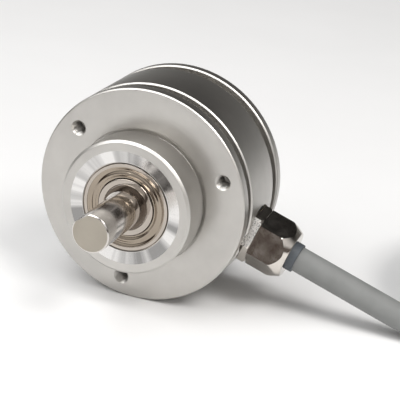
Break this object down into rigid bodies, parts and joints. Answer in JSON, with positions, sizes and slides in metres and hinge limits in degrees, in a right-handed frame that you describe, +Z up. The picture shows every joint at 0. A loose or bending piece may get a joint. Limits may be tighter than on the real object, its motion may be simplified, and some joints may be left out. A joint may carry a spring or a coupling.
{
  "type": "rotary encoder",
  "caption": "Solid-shaft rotary encoder with a round clamping flange, centring collar, ball-bearing shaft with a flat, and a radial hex gland with a coiled cable.",
  "frame": {"origin": "centre of the flange's mounting face, on the shaft axis", "axes": "-Y along the shaft towards its free end, +Y towards the rear cover, +Z up as the encoder lies on its rims, +X towards the cable gland's side"},
  "size_m": [0.176, 0.1246, 0.058],
  "materials": {
    "turned_aluminium": "fine turned, satin",
    "black_rubber": "matt",
    "screw_steel": "zinc plated",
    "shaft_steel": "ground and polished",
    "spring_steel": "spring temper",
    "hub_aluminium": "turned",
    "disc_glass": "coated",
    "black_plastic": "moulded",
    "lamp_lens": "clear moulded",
    "board_laminate": "solder mask",
    "standoff_brass": "turned",
    "connector_plastic": "moulded",
    "capacitor_can": "drawn can",
    "core_insulation": "extruded, one colour each",
    "nickel_brass": "nickel plated brass",
    "cable_jacket": "extruded, matt",
    "black_sleeve": "heat shrunk",
    "ferrule_tin": "tinned",
    "bearing_steel": "ground and polished",
    "cage_steel": "pressed",
    "shield_steel": "pressed and polished"
  },
  "bodies": {
    "encoder_body": {"front_flange": "turned_aluminium", "housing": "turned_aluminium", "rear_cover": "turned_aluminium", "front_o_ring": "black_rubber", "rear_o_ring": "black_rubber", "cover_screws": "screw_steel", "bearing_preload_spring": "spring_steel", "lamp_holder": "black_plastic", "lamp": "lamp_lens", "mask_plate": "disc_glass", "sensor_chip": "black_plastic", "circuit_board": "board_laminate", "board_standoffs": "standoff_brass", "board_screws": "screw_steel", "wire_connector": "connector_plastic", "line_driver_chip": "black_plastic", "capacitors": "capacitor_can", "inner_wires": "core_insulation", "gland_gasket": "black_rubber", "gland_body": "nickel_brass", "gland_nut": "nickel_brass", "gland_seal": "black_rubber", "cable_in_gland": "cable_jacket", "cable_lead": "cable_jacket", "cable_coil": "cable_jacket", "cable_end_sleeve": "black_sleeve", "cable_cores": "core_insulation", "core_ferrules": "ferrule_tin", "front_bearing_outer_ring": "bearing_steel", "front_bearing_shields": "shield_steel", "rear_bearing_outer_ring": "bearing_steel", "rear_bearing_shields": "shield_steel"},
    "shaft": {"shaft": "shaft_steel", "front_bearing_inner_ring": "bearing_steel", "rear_bearing_inner_ring": "bearing_steel", "shaft_circlip": "spring_steel", "disc_hub": "hub_aluminium", "hub_set_screw": "screw_steel", "code_disc": "disc_glass", "disc_clamp_ring": "hub_aluminium"},
    "front_cage": {"front_bearing_balls": "bearing_steel", "front_bearing_cage": "cage_steel"},
    "rear_cage": {"rear_bearing_balls": "bearing_steel", "rear_bearing_cage": "cage_steel"}
  },
  "joints": [
    {"name": "shaft_spin", "type": "hinge", "parent": "encoder_body", "child": "shaft", "pos_m": [0, 0, 0], "axis": [0, -1, 0], "continuous": true},
    {"name": "front_cage_spin", "type": "hinge", "parent": "encoder_body", "child": "front_cage", "pos_m": [0, -0.0064, 0], "axis": [0, -1, 0], "continuous": true},
    {"name": "rear_cage_spin", "type": "hinge", "parent": "encoder_body", "child": "rear_cage", "pos_m": [0, 0.0052, 0], "axis": [0, -1, 0], "continuous": true}
  ],
  "couplings": [
    {"joint": "front_cage_spin", "follows": "shaft_spin", "ratio": 0.41181},
    {"joint": "rear_cage_spin", "follows": "shaft_spin", "ratio": 0.41181}
  ]
}
